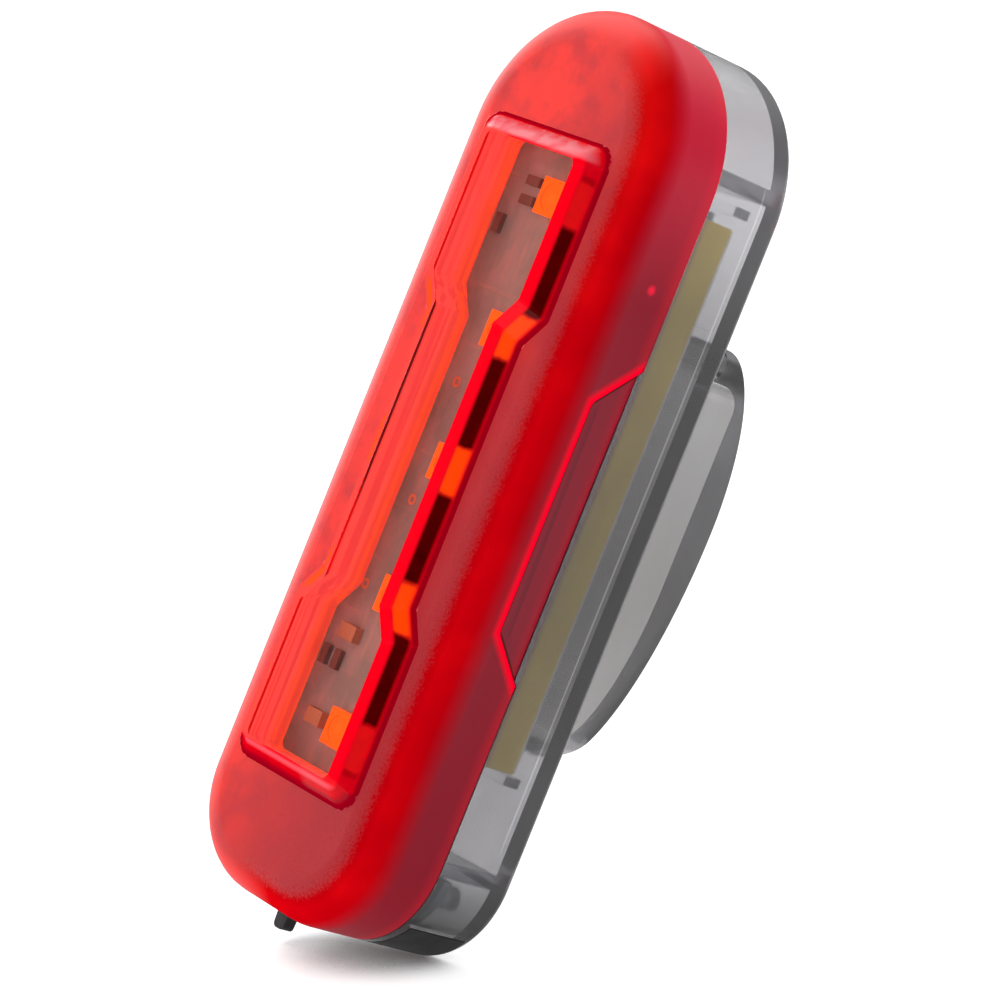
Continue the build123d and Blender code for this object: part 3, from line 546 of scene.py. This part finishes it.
def smoke_finish(name, colour):
    """Smoked clear plastic: darker at the ribs, with painted shade in the middle and at the foot, painted
    light at the top and a painted highlight along the back line.
    """
    f = new_finish(name)
    x, y, z = f.place()
    flow = f.noise(3.5, detail=2, stretch=(1, 1, 0.35))
    warm = tuple(share * c for share, c in zip(SMOKE_WARMTH, colour))
    rib = (z - TOP_RIB_Z).size().least((z - BOTTOM_RIB_Z).size()).below(RIB_REACH, 0.1)
    rib = rib * x.size().below(SIDE_X, 0.2) * y.below(-0.25, 0.1)
    waist = (z + 5.0 + (flow - 0.5) * 8.0).size().below(8.0, 12.0)
    tone_and_shade = f.mix(flow.above(0.5, 0.5) * 0.3, colour, warm)
    # Painted shade in the middle
    tone_and_shade = f.mix(waist * 0.35, tone_and_shade, warm)
    # Painted light at the top
    tone_and_shade = f.mix(z.above(23.0, 12.0), tone_and_shade, shade(colour, 1.3))
    # Painted shade at the foot
    tone_and_shade = f.mix(z.below(-31.8, 5.0) * 0.85, tone_and_shade, shade(colour, 0.35))
    # Painted highlight along the back line, given as glow
    line = (y - BACK_LINE_Y).size().below(0.08, 0.08)
    line = line * x.size().above(OUTER_X, 0.2) * z.above(-26.0, 3.0)
    shader = f.principled(
        Base_Color=f.mix(rib, tone_and_shade, shade(colour, 0.25)),
        Roughness=0.12 + 0.03 * flow,
        IOR=1.45,
        Transmission_Weight=0.9,
        Emission_Color=f.mix(line, BLACK, BACK_LINE_HIGHLIGHT),
        Emission_Strength=0.14,
        Normal=f.bump(flow, 0.01, 0.12),
    )
    f.soak(SMOKE_SOAK, SMOKE_SOAK_PER_MM)
    return f.surface(shader)


def board_finish():
    """Grey circuit board: traces under the resist, darker patches and plated via rings."""
    f = new_finish("board_grey")
    x, _, z = f.place()
    fibre = f.noise(0.5, detail=2)
    patch = f.noise(2.2, detail=3, stretch=(1, 1, 0.6)).above(0.5, 0.2)
    run = x.repeat(1.35).size().below(0.17, 0.05)
    cross = z.repeat(4.6).size().below(0.16, 0.05)
    island = f.noise(4.2, detail=0).above(0.52, 0.03)
    trace = (run * island).most(cross * (1 - island))
    rings = None
    for via_x, via_z in VIAS:
        far = ((x - via_x) ** 2 + (z - via_z) ** 2) ** 0.5
        ring = far.above(VIA_HOLE, 0.04) * far.below(VIA_RING, 0.05)
        rings = ring if rings is None else rings.most(ring)
    base = f.mix(trace * 0.45, BOARD_GREY, BOARD_TRACE)
    base = f.mix(patch * 0.7, base, BOARD_PATCH)
    base = f.mix(fibre * 0.25, base, BOARD_FIBRE)
    shader = f.principled(
        Base_Color=f.mix(rings, base, VIA_METAL),
        Roughness=0.34 + 0.12 * fibre,
        Metallic=rings,
        Normal=f.bump(trace, 0.03, 0.5),
    )
    return f.surface(shader)


def emitter_finish():
    """Square light emitter: an orange body with a glowing gel disc round a darker chip."""
    f = new_finish("emitter_body")
    x, _, z = f.place()
    along = (z - WINDOW_CENTRE_Z).repeat(EMITTER_PITCH)
    far = (x**2 + along**2) ** 0.5
    gel = far.below(EMITTER_DISH, 0.08)
    chip = x.size().most(along.size()).below(0.38, 0.08)
    grain = f.noise(0.12, detail=1)
    colour = f.mix(gel, EMITTER_ORANGE, EMITTER_GEL)
    shader = f.principled(
        Base_Color=f.mix(chip * 0.5, colour, EMITTER_CHIP),
        Specular_IOR_Level=0.1,
        Roughness=0.3 + 0.15 * grain,
        Emission_Color=f.mix(gel, EMITTER_GLOW, EMITTER_GEL_GLOW),
        Emission_Strength=0.55,
    )
    return f.surface(shader)


def plain_finish(name, colour, rough, speck, depth=0.01, metal=0.0):
    """Small part's finish: a base colour with grain in colour, gloss and surface."""
    f = new_finish(name)
    grain = f.noise(speck, detail=3)
    shader = f.principled(
        Base_Color=f.mix(grain, colour, shade(colour, 0.75)),
        Roughness=rough + 0.14 * grain,
        Metallic=metal,
        Normal=f.bump(grain, depth, 0.4),
    )
    return f.surface(shader)


def cell_finish():
    """Pouch cell: dull silver laminate with shallow creases."""
    f = new_finish("cell_silver")
    crease = f.noise(3.2, detail=4, rough=0.6, stretch=(1, 1, 0.4))
    fine = f.noise(0.3, detail=1)
    shader = f.principled(
        Base_Color=f.mix(crease.above(0.55, 0.3) * 0.4, (0.74, 0.75, 0.76), (0.52, 0.53, 0.55)),
        Roughness=0.34 + 0.1 * fine,
        Metallic=0.75,
        Normal=f.bump(crease, 0.25, 0.6),
    )
    return f.surface(shader)


def tape_finish():
    """Yellow film tape with faint lengthwise wrinkles and a darker brown front edge."""
    f = new_finish("tape_yellow")
    _, y, _ = f.place()
    wrinkle = f.noise(1.4, detail=3, stretch=(1, 1, 0.25))
    darker_front = y.below(TAPE_FRONT_Y + 0.7, 0.5)
    colour = f.mix(wrinkle.above(0.5, 0.4) * 0.5, (1.0, 0.74, 0.02), (0.80, 0.52, 0.02))
    shader = f.principled(
        Base_Color=f.mix(darker_front * 0.75, colour, (0.50, 0.24, 0.14)),
        Roughness=0.32 + 0.15 * wrinkle,
        Normal=f.bump(wrinkle, 0.08, 0.6),
    )
    return f.surface(shader)


def rubber_finish():
    """Black rubber: matt, faintly dusty."""
    f = new_finish("rubber_black")
    grain = f.noise(0.25, detail=3)
    dust = f.noise(2.0, detail=3).above(0.58, 0.3)
    shader = f.principled(
        Base_Color=f.mix(dust * 0.3, (0.016, 0.016, 0.017), (0.07, 0.068, 0.065)),
        Roughness=0.55 + 0.2 * grain,
        Normal=f.bump(grain, 0.02, 0.5),
    )
    return f.surface(shader)


def indicator_finish():
    """Charge indicator: a small pink-red glowing chip."""
    f = new_finish("indicator_body")
    grain = f.noise(0.2, detail=1)
    shader = f.principled(
        Base_Color=f.mix(grain, (0.9, 0.4, 0.4), (0.8, 0.3, 0.3)),
        Roughness=0.35,
        Emission_Color=(1.0, 0.2, 0.3),
        Emission_Strength=0.5,
    )
    return f.surface(shader)


def flat_regions(bm):
    """Faces that belong to a broad flat area made of several triangles."""
    flat = set()
    seen = set()
    for start in bm.faces:
        if start in seen:
            continue
        seen.add(start)
        region = [start]
        for face in region:
            for edge in face.edges:
                for other in edge.link_faces:
                    if other not in seen and other.normal.dot(start.normal) > FLAT_COSINE:
                        seen.add(other)
                        region.append(other)
        if len(region) >= FLAT_FACES:
            flat.update(region)
    return flat


def fresh(name, bm, materials, smooth):
    """A new object at the origin from a bmesh, smooth but for sharp edges and the rims of flat areas."""
    bm.normal_update()
    flat = flat_regions(bm)
    limit = math.radians(smooth)
    for face in bm.faces:
        face.smooth = True
    for edge in bm.edges:
        sides = edge.link_faces
        if len(sides) == 2:
            edge.smooth = edge.calc_face_angle(0) < limit and (sides[0] in flat) == (sides[1] in flat)
    mesh = bpy.data.meshes.new(name)
    bm.to_mesh(mesh)
    bm.free()
    for material in materials:
        mesh.materials.append(material)
    piece = bpy.data.objects.new(name, mesh)
    bpy.context.scene.collection.objects.link(piece)
    return piece


def merged(node):
    """A bmesh of a node's solid with its loose triangles joined."""
    bm = bmesh.new()
    bm.from_mesh(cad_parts[node].data)
    bmesh.ops.remove_doubles(bm, verts=bm.verts, dist=JOIN_REACH * MM)
    bmesh.ops.dissolve_degenerate(bm, edges=bm.edges, dist=SLIVER * MM)
    return bm


def draw_in(bm):
    """Moves every face inwards a hair, so that clear plastic never shares a face with what it touches."""
    bm.normal_update()
    for v in bm.verts:
        v.co -= v.normal * SKIN_GAP * MM


def cut(bm, y, z, way, clear):
    """Cuts along the plane across y through a point, and can clear the side that way looks to."""
    bmesh.ops.bisect_plane(
        bm,
        geom=bm.verts[:] + bm.edges[:] + bm.faces[:],
        plane_co=(0, y * MM, z * MM),
        plane_no=(0, way, 0),
        clear_outer=clear,
        dist=1e-7,
    )


def rims(bm):
    return [e for e in bm.edges if e.is_boundary]


def near_grip(c):
    on_side = abs(c.x) > SIDE_X and abs(c.z) < GRIP_REACH
    return on_side and GRIP_FRONT_Y - 0.5 < c.y < SEAM_Y - 0.1


def round_grip(bm):
    """Rounds the edge where the side wall drops to the grip's floor."""
    bm.normal_update()
    edges = []
    for edge in bm.edges:
        tilts = [abs(face.normal.x) for face in edge.link_faces]
        middle = (edge.verts[0].co + edge.verts[1].co) / 2 / MM
        outer = abs(middle.x) > HALF_WIDTH - 0.1
        if outer and near_grip(middle) and len(tilts) == 2 and min(tilts) < 0.3 and max(tilts) > 0.9:
            edges.append(edge)
    bmesh.ops.bevel(
        bm, geom=edges, offset=GRIP_EDGE * MM, segments=2, profile=0.5, affect="EDGES", material=-1
    )
    bm.normal_update()


def lens_slot(c, n):
    """0 skin, 1 flat window, outside and in, 2 chamber's walls, 3 grip's edge, 4 window's bevels."""
    if c.y < FRONT_Y - 0.03:
        return 1 if abs(n.y) > 0.98 else 4
    far_z = abs(c.z - WINDOW_CENTRE_Z)
    if abs(c.x) < CHAMBER_HALF_WIDTH and far_z < CHAMBER_HALF_HEIGHT and c.y < BOARD_FRONT_Y - 0.05:
        return 1 if n.y > 0.9 else 2
    return 3 if near_grip(c) and abs(n.x) < 0.97 else 0


def make_lens(*finishes):
    """Lens from its solid, in its finishes, with the grip's edge rounded."""
    bm = merged("front_lens")
    draw_in(bm)
    round_grip(bm)
    for face in bm.faces:
        face.material_index = lens_slot(face.calc_center_median() / MM, face.normal)
    lens = fresh("lens_shell", bm, finishes, smooth=32)
    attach(lens, "light")
    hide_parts("front_lens")


def make_case(smoke):
    """Rear case from its solid, without the clip's root, which belongs to the clip's piece."""
    bm = merged("rear_case")
    cut(bm, CASE_CUT_Y, 0, way=1, clear=True)
    bmesh.ops.holes_fill(bm, edges=rims(bm), sides=0)
    draw_in(bm)
    case = fresh("case_shell", bm, [smoke], smooth=32)
    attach(case, "light")
    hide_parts("rear_case")


def is_root_end(face):
    c = face.calc_center_median() / MM
    return c.y < CLIP_ROOT_CUT_Y and c.z > CLIP_ROOT_FOOT_Z


def make_clip(smoke):
    """Clip as one moulding: the arm from its solid, carried on through the root to the back face."""
    bm = merged("clip_arm")
    cut(bm, CLIP_ROOT_CUT_Y, CLIP_ROOT_Z, way=-1, clear=False)
    bmesh.ops.delete(bm, geom=[f for f in bm.faces if is_root_end(f)], context="FACES")
    bmesh.ops.delete(bm, geom=[v for v in bm.verts if not v.link_faces], context="VERTS")
    grown = bmesh.ops.extrude_edge_only(bm, edges=rims(bm))["geom"]
    for v in grown:
        if isinstance(v, bmesh.types.BMVert):
            v.co.y = CLIP_FOOT_Y * MM
    bmesh.ops.holes_fill(bm, edges=rims(bm), sides=0)
    bmesh.ops.recalc_face_normals(bm, faces=bm.faces)
    clip = fresh("clip_spring", bm, [smoke], smooth=30)
    bevel = clip.modifiers.new("soft_edges", "BEVEL")
    bevel.width = CLIP_EDGE * MM
    bevel.segments = 3
    bevel.limit_method = "ANGLE"
    bevel.angle_limit = math.radians(50)
    bevel.harden_normals = True
    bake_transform(clip)
    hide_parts("clip_arm")


def dress(node, material):
    """Gives a solid's object its finish."""
    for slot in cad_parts[node].material_slots:
        slot.material = material


def white_world():
    """White to the camera and through clear plastic; reflections see a bright top and left wall."""
    world = bpy.data.worlds.new("studio")
    bpy.context.scene.world = world
    f = Finish(world, "World")
    camera, glossy, through = f.outputs(
        "LightPath", "Is Camera Ray", "Is Glossy Ray", "Is Transmission Ray"
    )
    way = f.node("TexCoord", out=0)

    def towards(direction):
        return f.node("VectorMath", {"operation": "DOT_PRODUCT"}, way, tuple(direction), out=1)

    ahead, leftward, upward = towards(BACK), towards(-RIGHT), towards(UP)
    top = upward.above(0.7, 0.5) * TOP_SHINE
    wall = towards((-1, 0, 0)).above(0.9, 0.14) * SIDE_SHINE
    mirrored = ahead.below(0.1, 0.3) * (REST_SHINE + top.most(wall))
    lit = (ahead.below(0.45, 0.7) * 0.9 + 0.1) * (0.72 + 0.5 * leftward).most(0.58)
    shown = camera.most(through)
    strength = shown + (1 - shown) * (glossy * mirrored + (1 - glossy) * lit)
    f.surface(f.node("Background", None, Color=WHITE, Strength=strength))


def floor_finish():
    """White floor with a tight contact shadow; it can't be seen from below."""
    f = new_finish("floor_white")
    lit = f.node("BsdfDiffuse", None, Color=FLOOR_WHITE)
    near = f.node("AmbientOcclusion", {"samples": 8}, Distance=CONTACT_REACH * MM, out=1)
    shadow = f.mix(near.above(0.3, 0.24), CONTACT_TONE, WHITE)
    glow = f.node("Emission", None, Color=shadow, Strength=0.8)
    dark = f.node("Emission", None, Color=WHITE, Strength=0.25)
    camera, through = f.outputs("LightPath", "Is Camera Ray", "Is Transmission Ray")
    extra = f.node("MixShader", None, camera.most(through), dark, glow)
    whole = f.node("AddShader", None, lit, extra)
    hidden = f.node("BsdfTransparent")
    (behind,) = f.outputs("NewGeometry", "Backfacing")
    return f.surface(f.node("MixShader", None, behind, whole, hidden))


def lowest_along(normal):
    """How far down the shown object reaches against a direction."""
    reach = 0.0
    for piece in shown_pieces():
        for v in piece.data.vertices:
            reach = max(reach, -(v.co.dot(normal)))
    return reach


def make_floor():
    """White sweep that the light stands on."""
    tilt = math.radians(FLOOR_TILT)
    normal = (math.cos(tilt) * UP + math.sin(tilt) * BACK).normalized()
    down = Matrix.Translation(-normal * (lowest_along(normal) + FLOOR_DROP * MM))
    turn = normal.to_track_quat("Z", "Y").to_matrix().to_4x4()
    bm = bmesh.new()
    bmesh.ops.create_grid(bm, x_segments=1, y_segments=1, size=FLOOR_SIZE)
    bmesh.ops.transform(bm, matrix=down @ turn, verts=bm.verts)
    mesh = bpy.data.meshes.new("floor")
    bm.to_mesh(mesh)
    bm.free()
    mesh.materials.append(floor_finish())
    floor = bpy.data.objects.new("floor", mesh)
    bpy.context.scene.collection.objects.link(floor)


def softbox(name, place, size, watts):
    """A soft lamp at a place in the camera's right, up and back directions, aimed at the light."""
    data = bpy.data.lights.new(name, "AREA")
    data.shape = "RECTANGLE"
    data.size, data.size_y = size
    data.energy = watts
    lamp = bpy.data.objects.new(name, data)
    spot = RIGHT * place[0] + UP * place[1] + BACK * place[2]
    lamp.matrix_world = Matrix.Translation(spot) @ spot.to_track_quat("Z", "Y").to_matrix().to_4x4()
    lamp.visible_glossy = False
    bpy.context.scene.collection.objects.link(lamp)


place_camera()
bpy.context.scene.view_settings.view_transform = "Standard"

make_lens(skin_finish(), window_finish(), chamber_finish(), ridge_finish(), bevel_finish())
make_case(smoke_finish("case_smoke", CASE_SMOKE))
make_clip(smoke_finish("clip_smoke", CLIP_SMOKE))

board = board_finish()
emitter = emitter_finish()
rubber = rubber_finish()
black = plain_finish("moulded_black", (0.02, 0.02, 0.021), 0.4, 0.3)
ceramic = plain_finish("ceramic_tan", (0.42, 0.31, 0.2), 0.45, 0.3)
finishes = {
    "led_board": board,
    "charge_board": board,
    "protection_board": board,
    "led_resistors": plain_finish("ceramic_black", (0.13, 0.09, 0.09), 0.4, 0.2),
    "front_capacitors": ceramic,
    "back_capacitors": ceramic,
    "controller_chip": black,
    "charge_chip": black,
    "side_switch": black,
    "switch_plunger": black,
    "usb_tongue": black,
    "boost_coil": plain_finish("coil_grey", (0.10, 0.10, 0.11), 0.5, 0.25),
    "indicator_led": indicator_finish(),
    "battery_cell": cell_finish(),
    "battery_tape": tape_finish(),
    "battery_foam": plain_finish("foam_black", (0.05, 0.05, 0.052), 0.8, 0.35, depth=0.12),
    "battery_lead_red": plain_finish("lead_red", (0.55, 0.02, 0.02), 0.4, 0.8),
    "battery_lead_black": plain_finish("lead_black", (0.02, 0.02, 0.02), 0.4, 0.8),
    "board_pins": plain_finish("pin_brass", (0.78, 0.6, 0.28), 0.25, 0.4, metal=1.0),
    "usb_shell": plain_finish("socket_steel", (0.6, 0.6, 0.61), 0.25, 0.6, metal=1.0),
    "port_cover": rubber,
    "port_anchor": rubber,
    "power_button": plain_finish("button_red", (0.42, 0.006, 0.012), 0.45, 0.3),
    "seam_gasket": plain_finish("silicone_pale", (0.45, 0.45, 0.46), 0.5, 0.6),
}
for node, material in finishes.items():
    dress(node, material)
for number in range(1, EMITTER_COUNT + 1):
    dress(f"led_{number}", emitter)

white_world()
make_floor()
softbox("left_softbox", (-0.9, 0.25, 0.55), (0.9, 1.1), 9.0)
softbox("top_softbox", (-0.28, 0.95, -0.62), (1.2, 0.8), 9.0)
